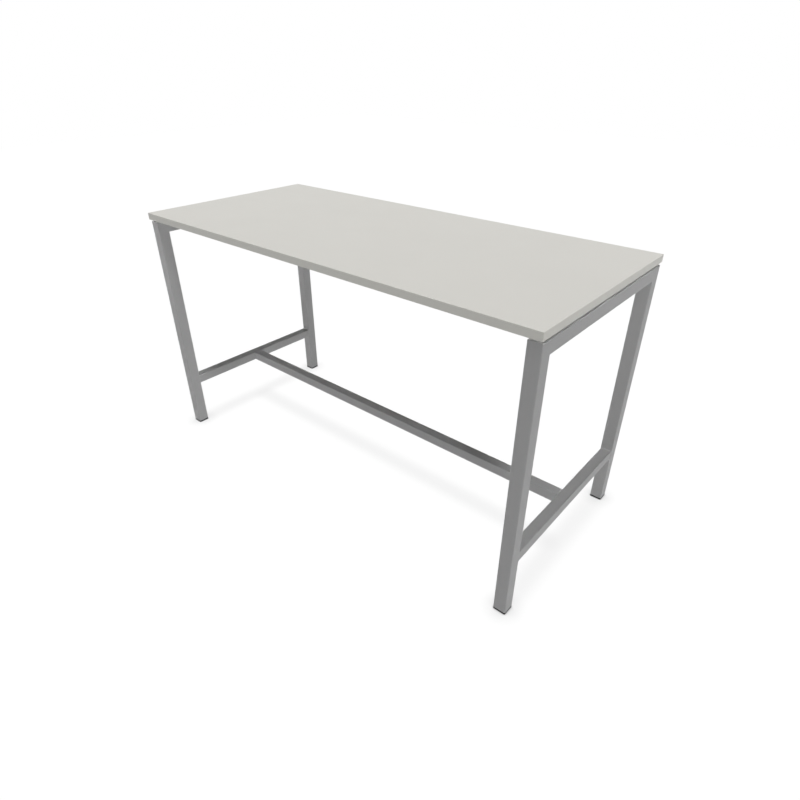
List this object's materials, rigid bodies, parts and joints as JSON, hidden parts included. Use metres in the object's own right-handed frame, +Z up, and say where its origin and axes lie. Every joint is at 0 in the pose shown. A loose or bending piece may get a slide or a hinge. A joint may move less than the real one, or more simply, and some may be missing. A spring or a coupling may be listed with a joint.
{
  "type": "standing meeting table",
  "caption": "Rectangular standing-height meeting table: pale laminate board on two square-tube end frames with a footrest stretcher and levelling feet.",
  "frame": {"origin": "on the floor under the middle of the top", "axes": "+X along the table's length, -Y towards the front, +Z up"},
  "size_m": [1.8, 0.8, 1.0096],
  "materials": {
    "top_laminate": "fine matt laminate",
    "backing_laminate": "plain matt backing",
    "edge_band": "satin plastic edging",
    "chipboard": "raw chipboard",
    "frame_paint": "fine silver-grey powder coat",
    "black_plastic": "moulded, satin",
    "zinc_steel": "bright zinc plated"
  },
  "bodies": {
    "table": {"backing_laminate": "backing_laminate", "board_screws": "zinc_steel", "fixing_tabs": "frame_paint", "foot_nuts": "zinc_steel", "footrest_stretcher": "frame_paint", "front_beam_left_spigot": "frame_paint", "front_beam_right_spigot": "frame_paint", "front_edge_band": "edge_band", "front_top_beam": "frame_paint", "left_edge_band": "edge_band", "left_front_foot_plug": "black_plastic", "left_front_leg": "frame_paint", "left_lower_rail": "frame_paint", "left_rear_foot_plug": "black_plastic", "left_rear_leg": "frame_paint", "left_stretcher_spigot": "frame_paint", "left_top_rail": "frame_paint", "rear_beam_left_spigot": "frame_paint", "rear_beam_right_spigot": "frame_paint", "rear_edge_band": "edge_band", "rear_top_beam": "frame_paint", "right_edge_band": "edge_band", "right_front_foot_plug": "black_plastic", "right_front_leg": "frame_paint", "right_lower_rail": "frame_paint", "right_rear_foot_plug": "black_plastic", "right_rear_leg": "frame_paint", "right_stretcher_spigot": "frame_paint", "right_top_rail": "frame_paint", "spacers": "black_plastic", "stretcher_screws": "zinc_steel", "tabletop_core": "chipboard", "top_laminate": "top_laminate"},
    "left_front_pad": {"left_front_levelling_pad": "black_plastic"},
    "left_front_stud": {"left_front_levelling_stud": "zinc_steel"},
    "right_front_pad": {"right_front_levelling_pad": "black_plastic"},
    "right_front_stud": {"right_front_levelling_stud": "zinc_steel"},
    "left_rear_pad": {"left_rear_levelling_pad": "black_plastic"},
    "left_rear_stud": {"left_rear_levelling_stud": "zinc_steel"},
    "right_rear_pad": {"right_rear_levelling_pad": "black_plastic"},
    "right_rear_stud": {"right_rear_levelling_stud": "zinc_steel"}
  },
  "joints": [
    {"name": "left_front_pad_drop", "type": "slide", "parent": "table", "child": "left_front_pad", "axis": [0, 0, -1], "range_m": [0, 0.01]},
    {"name": "left_front_stud_turn", "type": "hinge", "parent": "left_front_pad", "child": "left_front_stud", "pos_m": [-0.8765, -0.3695, 0], "axis": [0, 0, -1], "range_deg": [0, 2880]},
    {"name": "right_front_pad_drop", "type": "slide", "parent": "table", "child": "right_front_pad", "axis": [0, 0, -1], "range_m": [0, 0.01]},
    {"name": "right_front_stud_turn", "type": "hinge", "parent": "right_front_pad", "child": "right_front_stud", "pos_m": [0.8765, -0.3695, 0], "axis": [0, 0, -1], "range_deg": [0, 2880]},
    {"name": "left_rear_pad_drop", "type": "slide", "parent": "table", "child": "left_rear_pad", "axis": [0, 0, -1], "range_m": [0, 0.01]},
    {"name": "left_rear_stud_turn", "type": "hinge", "parent": "left_rear_pad", "child": "left_rear_stud", "pos_m": [-0.8765, 0.3695, 0], "axis": [0, 0, -1], "range_deg": [0, 2880]},
    {"name": "right_rear_pad_drop", "type": "slide", "parent": "table", "child": "right_rear_pad", "axis": [0, 0, -1], "range_m": [0, 0.01]},
    {"name": "right_rear_stud_turn", "type": "hinge", "parent": "right_rear_pad", "child": "right_rear_stud", "pos_m": [0.8765, 0.3695, 0], "axis": [0, 0, -1], "range_deg": [0, 2880]}
  ],
  "couplings": [
    {"joint": "left_front_stud_turn", "follows": "left_front_pad_drop", "rad_per_m": 5026.5},
    {"joint": "right_front_stud_turn", "follows": "right_front_pad_drop", "rad_per_m": 5026.5},
    {"joint": "left_rear_stud_turn", "follows": "left_rear_pad_drop", "rad_per_m": 5026.5},
    {"joint": "right_rear_stud_turn", "follows": "right_rear_pad_drop", "rad_per_m": 5026.5}
  ]
}
